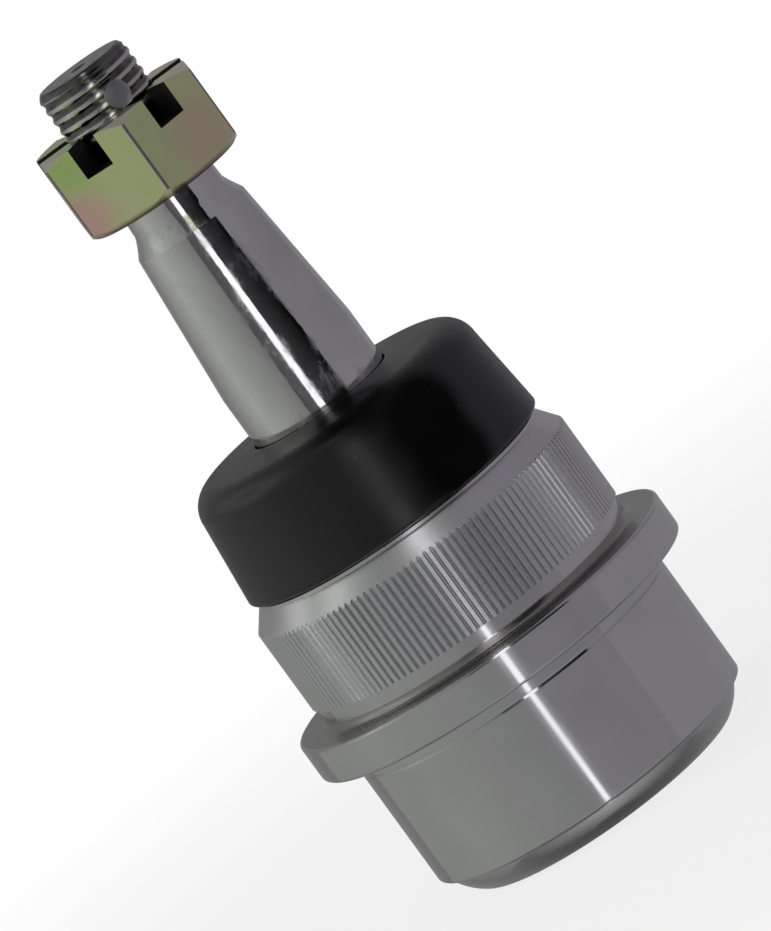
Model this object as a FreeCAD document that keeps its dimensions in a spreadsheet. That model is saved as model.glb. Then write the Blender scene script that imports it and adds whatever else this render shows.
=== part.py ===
# Suspension ball joint: a ball stud that swings and spins in a pressed-in steel housing, with a
# castellated nut on its thread and a rubber boot over the socket.
# The stud points up (+Z) and Z = 0 is the plane of the housing's rolled lower edge. Millimetres.
import FreeCAD
import Part
import Sketcher
import os
import re

sizes = {
    # outside of the housing, radii
    "band_radius": 28.1,  # over the crests of the serrations
    "flange_width": 4.85,  # beyond the band
    "barrel_step": 0.35,  # the barrel, below the band's crests
    "undercut_step": 0.6,
    "taper_drop": 2.7,  # from the band in to the collar
    "collar_step": 2.0,  # from the collar in to the neck, which carries the boot
    # outside of the housing, heights from its top down to the flange
    "neck_height": 3.55,
    "collar_height": 0.6,
    "band_taper_height": 3.55,
    "band_height": 13.75,
    "undercut_height": 3.65,
    "flange_thickness": 6.2,
    # edges of the housing
    "neck_edge": 0.4,
    "undercut_round": 1.4,
    "flange_edge": 0.3,
    "barrel_edge": 1.2,
    "lip_step": 0.15,  # from the barrel's rounded edge in to the rolled lip
    "lip_rise": 4.3,
    "lip_draft": 3.4,  # how far the lip leans in
    "lip_round": 9,
    "lip_bore_round": 0.8,
    # inside of the housing
    "barrel_wall": 6.25,
    "lip_overlap": 1.7,  # how far the rolled edge reaches in over the cover
    "lip_thickness": 2.4,
    "cover_seat": 0.8,  # recess for the cover's rim
    "mouth_wall": 1.55,
    "mouth_clearance": 0.35,  # round the stud when it leans against the mouth
    # serrations of the press band
    "serration_count": 144,
    "serration_depth": 0.4,
    "serration_land": 0.62,
    # ball stud
    "ball_depth": 23.55,  # from the housing's top down to the ball's centre
    "ball_flat": 1.2,
    "stud_neck_radius": 9,
    "stud_neck_round": 1.5,
    "shank_radius": 11.66,
    "shank_flare": 2.5,
    "shank_under_ring": 0.5,
    "shank_show": 8.55,  # from the boot's lip to the taper
    "taper_length": 24.5,
    "taper_ratio": 6,  # one in six on the diameter
    "thread_radius": 7.85,
    "thread_flare": 2.7,
    "thread_length": 26.2,
    "tip_chamfer": 1.1,
    "cross_hole_radius": 2.15,
    "cross_hole_below_tip": 5.8,
    "cross_hole_turn": 20,
    "centre_hole_radius": 1.3,
    # castellated nut
    "nut_flats": 26.4,
    "nut_height": 14.35,
    "nut_start": 3.85,  # thread left bare below the nut
    "nut_clearance": 0.05,
    "nut_turn": 1.5,
    "nut_lower_bevel": 2.56,  # how far each bevel comes in from the corners
    "nut_upper_bevel": 1.1,
    "nut_bevel_angle": 30,
    "nut_mouth_chamfer": 0.6,
    "slot_width": 5.05,
    "slot_depth": 5.2,
    "slot_count": 6,
    # bearing and spring washers
    "race_wall": 3.5,  # from the ball out to the socket
    "ball_clearance": 0.05,
    "race_lip": 0.975,  # of the race above the ball's contact
    "race_margin": 4,  # degrees between the race's edge and the leaning stud
    "race_fit": 0.02,
    "seat_gap": 1,
    "seat_under": 5.95,  # below the ball
    "seat_floor": 5,
    "seat_well_radius": 7,
    "seat_hole_radius": 4,
    "washer_stack": 6,
    "washer_bore": 11,
    "washer_thickness": 1.2,
    "washer_room": 1,  # between the washers' rim and the barrel
    # cover and grease plug
    "cover_thickness": 2.6,
    "cover_fit": 0.02,
    "cover_groove_inner": 11,
    "cover_groove_width": 5.5,
    "cover_groove_depth": 0.6,
    "plug_radius": 4,
    "plug_fit": 0.03,
    "plug_head_rim": 1.6,
    "plug_head_height": 1.3,
    "plug_key": 4,
    "plug_key_depth": 2.2,
    # boot and its rings
    "boot_gap": 0.3,
    "boot_wall": 2,
    "boot_foot_wall": 1.55,
    "boot_foot_round": 1,
    "boot_draft": 1.4,  # the wall leans in by this much
    "boot_wall_rise": 10.75,  # from the housing's top to the shoulder
    "boot_shoulder_round": 4.6,
    "boot_crown": 0.45,  # rise of the top from the shoulder to the lip
    "boot_lip_wall": 1.04,
    "boot_lip_rise": 0.1,
    "boot_bead": 1.3,
    "foot_ring_wall": 1.2,
    "foot_ring_drop": 0.5,  # below the housing's top
    "top_ring_wall": 1.9,
    "top_ring_height": 4,
    "top_ring_depth": 1.6,  # below the boot's lip
    "top_ring_clearance": 0.06,
}

doc = FreeCAD.newDocument("ball_joint")
sheet = doc.addObject("Spreadsheet::Sheet", "Sizes")
for row, (name, value) in enumerate(sizes.items(), start=1):
    sheet.set(f"A{row}", name)
    sheet.set(f"B{row}", str(value))
    sheet.setAlias(f"B{row}", name)
doc.recompute()


def tied(text):
    # the same expression with each size read from the sheet
    return re.sub(r"[a-z]\w*", lambda m: "Sizes." + m.group() if m.group() in sizes else m.group(), text)


def number(text):
    value = sheet.evalExpression(tied(text))
    return float(getattr(value, "Value", value))


def new_body(label):
    body = doc.addObject("PartDesign::Body", label)
    body.Label = label
    return body


def origin_part(body, role):
    return next(part for part in body.Origin.OriginFeatures if part.Role == role)


def new_sketch(body, name, role, height=None):
    sketch = body.newObject("Sketcher::SketchObject", name)
    sketch.AttachmentSupport = (origin_part(body, role), [""])
    sketch.MapMode = "FlatFace"
    if height:
        sketch.setExpression("AttachmentOffset.Base.z", tied(height))
    return sketch


def place_corner(sketch, element, end, x, y):
    for kind, text in (("DistanceX", x), ("DistanceY", y)):
        rule = sketch.addConstraint(Sketcher.Constraint(kind, -1, 1, element, end, number(text)))
        sketch.setExpression(f"Constraints[{rule}]", tied(text))


def draw(sketch, corners, arcs=None):
    # Closed outline through the corners. arcs gives, for the side that starts at a corner, its radius
    # and which way it bends: 1 to the left, -1 to the right.
    arcs = arcs or {}
    points = [FreeCAD.Vector(number(x), number(y), 0) for x, y in corners]
    sides = []
    for i, start in enumerate(points):
        end = points[(i + 1) % len(points)]
        if i not in arcs:
            side = sketch.addGeometry(Part.LineSegment(start, end), False)
            sides.append((side, 1, 2))
            continue
        radius_text, bend = arcs[i]
        radius = number(radius_text)
        chord = end - start
        reach = max(radius**2 - (chord.Length / 2) ** 2, 0) ** 0.5
        left = FreeCAD.Vector(-chord.y, chord.x, 0).normalize()
        centre = (start + end) * 0.5 + left * (reach * bend)
        first, last = (start, end) if bend > 0 else (end, start)
        begin = (first - centre).getAngle(FreeCAD.Vector(1, 0, 0)) * (1 if first.y >= centre.y else -1)
        finish = (last - centre).getAngle(FreeCAD.Vector(1, 0, 0)) * (1 if last.y >= centre.y else -1)
        circle = Part.Circle(centre, FreeCAD.Vector(0, 0, 1), radius)
        side = sketch.addGeometry(Part.ArcOfCircle(circle, begin, finish), False)
        sides.append((side, 1, 2) if bend > 0 else (side, 2, 1))
        rule = sketch.addConstraint(Sketcher.Constraint("Radius", side, radius))
        sketch.setExpression(f"Constraints[{rule}]", tied(radius_text))
    for i, (side, start, end) in enumerate(sides):
        following, next_start, _ = sides[(i + 1) % len(sides)]
        sketch.addConstraint(Sketcher.Constraint("Coincident", side, end, following, next_start))
    for (side, start, _), (x, y) in zip(sides, corners):
        place_corner(sketch, side, start, x, y)


def turned(body, name, corners, arcs=None, cut=False):
    # a section beside the Z axis, turned once round it
    sketch = new_sketch(body, name + "_section", "XZ_Plane")
    draw(sketch, corners, arcs)
    feature = body.newObject("PartDesign::Groove" if cut else "PartDesign::Revolution", name)
    feature.Profile = sketch
    feature.ReferenceAxis = (sketch, ["V_Axis"])
    feature.Angle = 360
    doc.recompute()
    return feature


def pocket(body, name, sketch, depth, both_ways=False):
    before = body.Shape.Volume
    feature = body.newObject("PartDesign::Pocket", name)
    feature.Profile = sketch
    if both_ways:
        feature.SideType = "Symmetric"
    feature.setExpression("Length", tied(depth))
    doc.recompute()
    if body.Shape.Volume >= before:
        raise RuntimeError(name + " cuts nothing")
    return feature


def round_the_axis(body, name, original, count):
    pattern = body.newObject("PartDesign::PolarPattern", name)
    pattern.Originals = [original]
    pattern.Axis = (origin_part(body, "Z_Axis"), [""])
    pattern.Angle = 360
    pattern.setExpression("Occurrences", tied(count))
    body.Tip = pattern
    doc.recompute()
    return pattern


# radii, from the press band inwards
barrel_radius = "(band_radius - barrel_step)"
flange_radius = "(band_radius + flange_width)"
undercut_radius = "(band_radius - undercut_step)"
collar_radius = "(band_radius - taper_drop)"
neck_radius = f"({collar_radius} - collar_step)"
socket_radius = f"({barrel_radius} - barrel_wall)"
cover_seat_radius = f"({socket_radius} + cover_seat)"
lip_bore = f"({cover_seat_radius} - lip_overlap)"
ball_radius = f"({socket_radius} - race_wall)"
bearing_radius = f"({ball_radius} + ball_clearance)"

# levels above the rolled lower edge: the bearing's stack sets the ball, the ball sets the housing's top,
# and the outside is stepped down from there
cover_top = "(lip_thickness + cover_thickness)"
seat_bottom = f"({cover_top} + washer_stack)"
ball_centre = f"({seat_bottom} + seat_under + {bearing_radius})"
housing_top = f"({ball_centre} + ball_depth)"
collar_top = f"({housing_top} - neck_height)"
collar_bottom = f"({collar_top} - collar_height)"
band_top = f"({collar_bottom} - band_taper_height)"
band_bottom = f"({band_top} - band_height)"
seat_plane = f"({band_bottom} - undercut_height)"
flange_bottom = f"({seat_plane} - flange_thickness)"
boot_shoulder = f"({housing_top} + boot_wall_rise)"
boot_top = f"({boot_shoulder} + boot_shoulder_round + boot_crown)"
boot_lip = f"({boot_top} + boot_lip_rise)"
top_ring_top = f"({boot_lip} - top_ring_depth)"
top_ring_bottom = f"({top_ring_top} - top_ring_height)"
shank_bottom = f"({top_ring_bottom} - shank_under_ring)"
taper_bottom = f"({boot_lip} + shank_show)"
taper_top = f"({taper_bottom} + taper_length)"
thread_bottom = f"({taper_top} + thread_flare)"
tip = f"({thread_bottom} + thread_length)"
nut_bottom = f"({thread_bottom} + nut_start)"
nut_top = f"({nut_bottom} + nut_height)"

# how far the stud may lean before its neck meets the mouth's upper edge
mouth_reach = f"({neck_radius} - mouth_wall - mouth_clearance)"
lean = (
    f"(atan({mouth_reach} / ball_depth)"
    f" - asin(stud_neck_radius / sqrt({mouth_reach}^2 + ball_depth^2)))"
)


def mouth_radius(rise):
    # the leaning stud neck just clears the mouth at this height above the ball's centre
    return f"({rise} * tan({lean}) + stud_neck_radius / cos({lean}) + mouth_clearance)"


# the race ends short of the leaning neck
race_edge = f"({lean} + asin(stud_neck_radius / {ball_radius}) + race_margin * 1 deg)"
race_height = f"({bearing_radius} * cos({race_edge}) + race_lip)"
race_top = f"({ball_centre} + {race_height})"


# housing: one section, turned
housing = new_body("housing")
lip_outer = f"({barrel_radius} - barrel_edge - lip_step)"
turned(
    housing,
    "housing_turned",
    [
        (f"{lip_outer} - lip_draft", "0"),
        (lip_outer, "lip_rise"),
        (f"{barrel_radius} - barrel_edge", "lip_rise"),
        (barrel_radius, "lip_rise + barrel_edge"),
        (barrel_radius, flange_bottom),
        (f"{flange_radius} - flange_edge", flange_bottom),
        (flange_radius, f"{flange_bottom} + flange_edge"),
        (flange_radius, f"{seat_plane} - flange_edge"),
        (f"{flange_radius} - flange_edge", seat_plane),
        (f"{undercut_radius} + undercut_round", seat_plane),
        (undercut_radius, f"{seat_plane} + undercut_round"),
        (undercut_radius, band_bottom),
        ("band_radius", band_bottom),
        ("band_radius", band_top),
        (collar_radius, collar_bottom),
        (collar_radius, collar_top),
        (neck_radius, collar_top),
        (neck_radius, f"{housing_top} - neck_edge"),
        (f"{neck_radius} - neck_edge", housing_top),
        (mouth_radius("ball_depth"), housing_top),
        (mouth_radius(race_height), race_top),
        (socket_radius, race_top),
        (socket_radius, cover_top),
        (cover_seat_radius, cover_top),
        (cover_seat_radius, "lip_thickness"),
        (lip_bore, "lip_thickness"),
        (lip_bore, "lip_bore_round"),
        (f"{lip_bore} + lip_bore_round", "0"),
    ],
    {
        0: ("lip_round", 1),
        2: ("barrel_edge", 1),
        9: ("undercut_round", -1),
        26: ("lip_bore_round", 1),
    },
)

# straight serrations: one V groove, repeated round the band, open at the taper and at the undercut
half_groove = "(pi * band_radius / serration_count - serration_land / 2)"
groove_root = "(band_radius - serration_depth)"
groove_reach = "serration_depth"
sketch = new_sketch(housing, "serration_section", "XY_Plane", collar_bottom)
groove_outer = f"(band_radius + {groove_reach})"
spread = f"({half_groove} * (serration_depth + {groove_reach}) / serration_depth)"
draw(
    sketch,
    [
        (groove_root, "0"),
        (groove_outer, f"-{spread}"),
        (groove_outer, spread),
    ],
)
serration = pocket(housing, "serration", sketch, "band_height + band_taper_height + undercut_height / 2")
round_the_axis(housing, "serrations", serration, "serration_count")

# ball stud: ball, neck, shank, taper and thread end
ball_stud = new_body("ball_stud")
flat_drop = f"({ball_radius} - ball_flat)"
round_reach = f"({ball_radius} + stud_neck_round)"
round_offset = "(stud_neck_radius + stud_neck_round)"
round_rise = f"sqrt({round_reach}^2 - {round_offset}^2)"
round_share = f"({ball_radius} / {round_reach})"
taper_top_radius = "(shank_radius - taper_length / taper_ratio / 2)"
flare_step = f"({taper_top_radius} - thread_radius)"
flare_round = f"((thread_flare^2 + {flare_step}^2) / 2 / {flare_step})"
turned(
    ball_stud,
    "stud_turned",
    [
        ("0", f"{ball_centre} - {flat_drop}"),
        (f"sqrt({ball_radius}^2 - {flat_drop}^2)", f"{ball_centre} - {flat_drop}"),
        (f"{round_offset} * {round_share}", f"{ball_centre} + {round_rise} * {round_share}"),
        ("stud_neck_radius", f"{ball_centre} + {round_rise}"),
        ("stud_neck_radius", f"{shank_bottom} - shank_flare"),
        ("shank_radius", shank_bottom),
        ("shank_radius", taper_bottom),
        (taper_top_radius, taper_top),
        ("thread_radius", thread_bottom),
        ("thread_radius", f"{tip} - tip_chamfer"),
        ("thread_radius - tip_chamfer", tip),
        ("centre_hole_radius", tip),
        ("0", f"{tip} - centre_hole_radius"),
    ],
    {1: (ball_radius, 1), 2: ("stud_neck_round", -1), 7: (flare_round, -1)},
)
sketch = new_sketch(ball_stud, "cross_hole_section", "XZ_Plane")
sketch.AttachmentOffset = FreeCAD.Placement(FreeCAD.Vector(), FreeCAD.Rotation(FreeCAD.Vector(0, 1, 0), 1))
sketch.setExpression("AttachmentOffset.Rotation.Angle", tied("cross_hole_turn"))
hole = sketch.addGeometry(Part.Circle(FreeCAD.Vector(0, number(tip), 0), FreeCAD.Vector(0, 0, 1), 2), False)
sketch.addConstraint(Sketcher.Constraint("PointOnObject", hole, 3, -2))
rule = sketch.addConstraint(Sketcher.Constraint("Radius", hole, number("cross_hole_radius")))
sketch.setExpression(f"Constraints[{rule}]", tied("cross_hole_radius"))
hole_level = f"{tip} - cross_hole_below_tip"
rule = sketch.addConstraint(Sketcher.Constraint("DistanceY", -1, 1, hole, 3, number(hole_level)))
sketch.setExpression(f"Constraints[{rule}]", tied(hole_level))
pocket(ball_stud, "cross_hole", sketch, "thread_radius * 2 + 2", both_ways=True)

# castellated nut: hexagon, conical chamfers, bore and slots
castle_nut = new_body("castle_nut")
sketch = new_sketch(castle_nut, "hexagon_section", "XY_Plane", nut_bottom)
half_flats = "nut_flats / 2"
half_side = "nut_flats / 2 * tan(30)"
draw(
    sketch,
    [
        (half_flats, f"-{half_side}"),
        (half_flats, half_side),
        ("0", "nut_flats / 2 / cos(30)"),
        (f"-{half_flats}", half_side),
        (f"-{half_flats}", f"-{half_side}"),
        ("0", "-nut_flats / 2 / cos(30)"),
    ],
)
hexagon = castle_nut.newObject("PartDesign::Pad", "hexagon")
hexagon.Profile = sketch
hexagon.setExpression("Length", tied("nut_height"))
doc.recompute()
nut_corner = "(nut_flats / 2 / cos(30))"
nut_outside = f"({nut_corner} + nut_lower_bevel)"
bevels = (
    ("lower_bevel", "nut_lower_bevel", nut_bottom, "+"),
    ("upper_bevel", "nut_upper_bevel", nut_top, "-"),
)
for name, bevel, face, away in bevels:
    turned(
        castle_nut,
        name,
        [
            (f"{nut_corner} - {bevel}", face),
            (nut_outside, face),
            (nut_outside, f"{face} {away} ({bevel} + nut_lower_bevel) * tan(nut_bevel_angle)"),
        ],
        cut=True,
    )
nut_bore = "(thread_radius + nut_clearance)"
turned(
    castle_nut,
    "nut_bore",
    [
        ("0", nut_bottom),
        (f"{nut_bore} + nut_mouth_chamfer", nut_bottom),
        (nut_bore, f"{nut_bottom} + nut_mouth_chamfer"),
        (nut_bore, nut_top),
        ("0", nut_top),
    ],
    cut=True,
)
sketch = new_sketch(castle_nut, "slot_section", "XY_Plane", nut_top)
draw(
    sketch,
    [
        ("thread_radius / 2", "-slot_width / 2"),
        (nut_outside, "-slot_width / 2"),
        (nut_outside, "slot_width / 2"),
        ("thread_radius / 2", "slot_width / 2"),
    ],
)
slot = pocket(castle_nut, "slot", sketch, "slot_depth")
round_the_axis(castle_nut, "slots", slot, "slot_count")
castle_nut.setExpression("Placement.Rotation.Angle", tied("nut_turn"))

# upper race: holds the ball down, seated under the housing's shoulder
race_outer = f"({socket_radius} - race_fit)"
race_bore = f"({bearing_radius} * sin({race_edge}))"
upper_race = new_body("upper_race")
turned(
    upper_race,
    "race_turned",
    [
        (bearing_radius, ball_centre),
        (race_outer, ball_centre),
        (race_outer, race_top),
        (race_bore, race_top),
        (race_bore, f"{race_top} - race_lip"),
    ],
    {4: (bearing_radius, -1)},
)

# lower seat: cup under the ball with a grease well in its middle
lower_seat = new_body("lower_seat")
turned(
    lower_seat,
    "seat_turned",
    [
        (f"sqrt({bearing_radius}^2 - seat_gap^2)", f"{ball_centre} - seat_gap"),
        ("seat_well_radius", f"{ball_centre} - sqrt({bearing_radius}^2 - seat_well_radius^2)"),
        ("seat_well_radius", f"{seat_bottom} + seat_floor"),
        ("seat_hole_radius", f"{seat_bottom} + seat_floor"),
        ("seat_hole_radius", seat_bottom),
        (race_outer, seat_bottom),
        (race_outer, f"{ball_centre} - seat_gap"),
    ],
    {0: (bearing_radius, -1)},
)

# three disc washers, stacked rim to rim and bore to bore between the cover and the seat
washer_share = "(washer_stack / 3)"
washer_rim = f"({socket_radius} - washer_room)"
for place in range(3):
    washer = new_body(f"preload_washer_{place + 1}")
    dish = f"({washer_share} - washer_thickness)"
    foot = f"({cover_top} + {place} * {washer_share})"
    bore_rise, rim_rise = (dish, "0") if place % 2 == 0 else ("0", dish)
    turned(
        washer,
        f"washer_turned_{place + 1}",
        [
            ("washer_bore", f"{foot} + {bore_rise}"),
            (washer_rim, f"{foot} + {rim_rise}"),
            (washer_rim, f"{foot} + {rim_rise} + washer_thickness"),
            ("washer_bore", f"{foot} + {bore_rise} + washer_thickness"),
        ],
    )

# cover plate with a pressed groove, and the plug in its middle
cover_rim = f"({cover_seat_radius} - cover_fit)"
groove_rim = "(cover_groove_inner + cover_groove_width)"
cover_plate = new_body("cover_plate")
turned(
    cover_plate,
    "cover_turned",
    [
        ("plug_radius", "lip_thickness"),
        ("cover_groove_inner", "lip_thickness"),
        ("cover_groove_inner", "lip_thickness + cover_groove_depth"),
        (groove_rim, "lip_thickness + cover_groove_depth"),
        (groove_rim, "lip_thickness"),
        (cover_rim, "lip_thickness"),
        (cover_rim, cover_top),
        ("plug_radius", cover_top),
    ],
)
plug_head = "(plug_radius + plug_head_rim)"
grease_plug = new_body("grease_plug")
turned(
    grease_plug,
    "plug_turned",
    [
        ("0", "lip_thickness - plug_head_height"),
        (plug_head, "lip_thickness - plug_head_height"),
        (plug_head, "lip_thickness"),
        ("plug_radius - plug_fit", "lip_thickness"),
        ("plug_radius - plug_fit", cover_top),
        ("0", cover_top),
    ],
)
sketch = new_sketch(grease_plug, "key_section", "XY_Plane", "lip_thickness - plug_head_height + plug_key_depth")
draw(
    sketch,
    [
        ("plug_key / 2", "-plug_key / 2 * tan(30)"),
        ("plug_key / 2", "plug_key / 2 * tan(30)"),
        ("0", "plug_key / 2 / cos(30)"),
        ("-plug_key / 2", "plug_key / 2 * tan(30)"),
        ("-plug_key / 2", "-plug_key / 2 * tan(30)"),
        ("0", "-plug_key / 2 / cos(30)"),
    ],
)
pocket(grease_plug, "key", sketch, "plug_key_depth + 1")

# steel ring in the boot's foot, pressed on the housing's neck
foot_ring_radius = f"({neck_radius} + foot_ring_wall)"
foot_ring_top = f"({housing_top} - foot_ring_drop)"
boot_base_ring = new_body("boot_base_ring")
turned(
    boot_base_ring,
    "base_ring_turned",
    [
        (neck_radius, collar_top),
        (foot_ring_radius, collar_top),
        (foot_ring_radius, foot_ring_top),
        (neck_radius, foot_ring_top),
    ],
)

# ring that keeps the boot's lip on the stud
top_ring_bore = "(shank_radius + top_ring_clearance)"
top_ring_radius = f"({top_ring_bore} + top_ring_wall)"
boot_top_ring = new_body("boot_top_ring")
turned(
    boot_top_ring,
    "top_ring_turned",
    [
        (top_ring_bore, top_ring_bottom),
        (top_ring_radius, top_ring_bottom),
        (top_ring_radius, top_ring_top),
        (top_ring_bore, top_ring_top),
    ],
)

# dust boot: foot over the ring, flared wall, round shoulder, nearly flat top and a lip at the stud
dust_boot = new_body("dust_boot")
foot_inner = f"({foot_ring_radius} + boot_gap)"
foot_outer = f"({foot_inner} + boot_foot_wall)"
wall_outer = f"({foot_outer} - boot_draft)"
shoulder_outer = f"({wall_outer} - boot_shoulder_round)"
inner_round = "(boot_shoulder_round - boot_wall)"
boot_foot = f"({collar_top} + boot_gap)"
ring_roof = f"({foot_ring_top} + boot_gap)"
bead_bottom = f"({housing_top} + boot_gap)"
bead_inner = f"({neck_radius} - boot_bead)"
lip_inner = "(shank_radius + boot_gap)"
lip_rim = f"({lip_inner} + boot_lip_wall)"
ring_wall = f"({top_ring_radius} + boot_gap)"
lip_roof = f"({top_ring_top} + boot_gap)"
turned(
    dust_boot,
    "boot_turned",
    [
        (foot_inner, boot_foot),
        (f"{foot_outer} - boot_foot_round", boot_foot),
        (foot_outer, f"{boot_foot} + boot_foot_round"),
        (wall_outer, boot_shoulder),
        (shoulder_outer, f"{boot_shoulder} + boot_shoulder_round"),
        (f"{lip_rim} + boot_crown", boot_top),
        (lip_rim, boot_lip),
        (lip_inner, boot_lip),
        (lip_inner, lip_roof),
        (ring_wall, lip_roof),
        (ring_wall, top_ring_bottom),
        (f"{ring_wall} + boot_wall / 2", top_ring_bottom),
        (f"{ring_wall} + boot_wall", f"{boot_shoulder} + {inner_round}"),
        (shoulder_outer, f"{boot_shoulder} + {inner_round}"),
        (f"{wall_outer} - boot_wall", boot_shoulder),
        (f"{foot_outer} - boot_wall - boot_bead / 2", f"{bead_bottom} + 2 * boot_bead"),
        (bead_inner, f"{bead_bottom} + boot_bead"),
        (bead_inner, bead_bottom),
        (f"{neck_radius} + boot_gap", bead_bottom),
        (f"{neck_radius} + boot_gap", ring_roof),
        (foot_inner, ring_roof),
    ],
    {1: ("boot_foot_round", 1), 3: ("boot_shoulder_round", 1), 13: (inner_round, -1)},
)

doc.recompute()
bodies = [piece for piece in doc.Objects if piece.TypeId == "PartDesign::Body"]
for piece in doc.Objects:
    if "Invalid" in piece.State or "Error" in piece.State:
        raise RuntimeError(f"{piece.Label} failed: {piece.State}")
for piece in bodies:
    if piece.Shape.isNull() or not piece.Shape.isValid() or len(piece.Shape.Solids) != 1:
        raise RuntimeError(f"{piece.Label} is not one valid solid")

os.makedirs("parts", exist_ok=True)
for piece in bodies:
    piece.Shape.exportStep(f"parts/{piece.Label}.step")
    print(f"{piece.Label}: {piece.Shape.Volume / 1000:.2f} cm3")
box = Part.makeCompound([piece.Shape for piece in bodies]).BoundBox
print(f"overall {box.XLength:.2f} x {box.YLength:.2f} x {box.ZLength:.2f} mm, from Z {box.ZMin:.2f}")
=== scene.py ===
import bpy
import bmesh
import math
from mathutils import Matrix, Vector


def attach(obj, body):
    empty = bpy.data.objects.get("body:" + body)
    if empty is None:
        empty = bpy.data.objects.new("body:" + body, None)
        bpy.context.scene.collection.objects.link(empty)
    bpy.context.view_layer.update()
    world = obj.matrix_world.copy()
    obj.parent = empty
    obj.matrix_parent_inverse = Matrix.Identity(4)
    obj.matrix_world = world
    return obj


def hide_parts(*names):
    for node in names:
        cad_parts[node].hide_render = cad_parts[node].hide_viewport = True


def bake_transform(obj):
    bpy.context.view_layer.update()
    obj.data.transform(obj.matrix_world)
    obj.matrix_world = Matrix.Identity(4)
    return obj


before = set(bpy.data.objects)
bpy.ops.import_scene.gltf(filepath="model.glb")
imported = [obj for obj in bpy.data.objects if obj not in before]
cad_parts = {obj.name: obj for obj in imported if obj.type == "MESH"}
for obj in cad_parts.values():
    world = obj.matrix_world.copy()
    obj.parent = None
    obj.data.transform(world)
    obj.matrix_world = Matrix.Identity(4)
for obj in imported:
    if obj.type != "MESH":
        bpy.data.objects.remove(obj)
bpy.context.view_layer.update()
mm = 0.001
print("frame loaded,", len(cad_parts), "nodes")


# mesh helpers, lengths in millimetres

def sweep(centre, first, final, size, steps):
    # points round a centre, from one direction to another
    shares = [k / steps for k in range(steps + 1)]
    return [centre + (first * (1 - share) + final * share).normalized() * size for share in shares]


def bend(corners, steps=5):
    # corners are (radius, height, rounding); each one with a rounding becomes a short arc
    points = []
    for i, (radius, height, rounding) in enumerate(corners):
        here = Vector((radius, height))
        if not rounding:
            points.append(here)
            continue
        before, after = corners[i - 1], corners[(i + 1) % len(corners)]
        back, ahead = Vector(before[:2]) - here, Vector(after[:2]) - here
        half = back.angle(ahead) / 2
        backShare = 0.42 if before[2] else 0.8  # two arcs on one edge share it
        aheadShare = 0.42 if after[2] else 0.8
        reach = min(rounding / math.tan(half), back.length * backShare, ahead.length * aheadShare)
        size = reach * math.tan(half)
        toBack, toAhead = back.normalized(), ahead.normalized()
        centre = here + (toBack + toAhead).normalized() * (size / math.sin(half))
        points.append(here + toBack * reach * 1.15)  # keeps the flat beside the arc flat
        points += sweep(centre, here + toBack * reach - centre, here + toAhead * reach - centre, size, steps)
        points.append(here + toAhead * reach * 1.15)
    return points


def arc(first, final, size, steps=8):
    # points from first to final on an arc that bulges to the right of the way
    first, final = Vector(first), Vector(final)
    chord = final - first
    left = Vector((-chord.y, chord.x)).normalized()
    centre = (first + final) / 2 + left * math.sqrt(size ** 2 - chord.length_squared / 4)
    return sweep(centre, first - centre, final - centre, size, steps)


def evenAngles(count):
    return [2 * math.pi * k / count for k in range(count)]


def finishMesh(name, mesh, material, sharpAngle=None):
    bmesh.ops.remove_doubles(mesh, verts=mesh.verts, dist=1e-7)
    bmesh.ops.recalc_face_normals(mesh, faces=mesh.faces)
    for face in mesh.faces:
        face.smooth = True
    data = bpy.data.meshes.new(name)
    mesh.to_mesh(data)
    mesh.free()
    if sharpAngle:
        data.set_sharp_from_angle(angle=math.radians(sharpAngle))
    piece = bpy.data.objects.new(name, data)
    bpy.context.scene.collection.objects.link(piece)
    data.materials.append(material)
    return piece


def turnOnLathe(name, profile, angles, material, closed=False, cut=None, sharpAngle=None):
    # cut(radius, height, angle) may change the radius round the axis
    mesh = bmesh.new()
    rings = []
    for radius, height in profile:
        if radius < 1e-4:  # on the axis
            rings.append([mesh.verts.new((0, 0, height * mm))])
            continue
        ring = []
        for angle in angles:
            reach = (cut(radius, height, angle) if cut else radius) * mm
            ring.append(mesh.verts.new((reach * math.cos(angle), reach * math.sin(angle), height * mm)))
        rings.append(ring)
    pairs = list(zip(rings, rings[1:]))
    if closed:
        pairs.append((rings[-1], rings[0]))
    for low, high in pairs:
        for k in range(len(angles)):
            corners = [low[k % len(low)], low[(k + 1) % len(low)]]
            corners += [high[(k + 1) % len(high)], high[k % len(high)]]
            corners = list(dict.fromkeys(corners))  # beside the axis two of them are the same
            if len(corners) > 2:
                mesh.faces.new(corners)
    return finishMesh(name, mesh, material, sharpAngle)


def carve(piece, tool, operation="DIFFERENCE", sharpAngle=None):
    # applied boolean; the tool goes away
    change = piece.modifiers.new("carve", "BOOLEAN")
    change.object = tool
    change.operation = operation
    change.solver = "EXACT"
    graph = bpy.context.evaluated_depsgraph_get()
    result = bpy.data.meshes.new_from_object(piece.evaluated_get(graph))
    piece.modifiers.clear()
    old = piece.data
    piece.data = result
    bpy.data.meshes.remove(old)
    bpy.data.objects.remove(tool)
    if sharpAngle:
        result.set_sharp_from_angle(angle=math.radians(sharpAngle))


# material helpers

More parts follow.
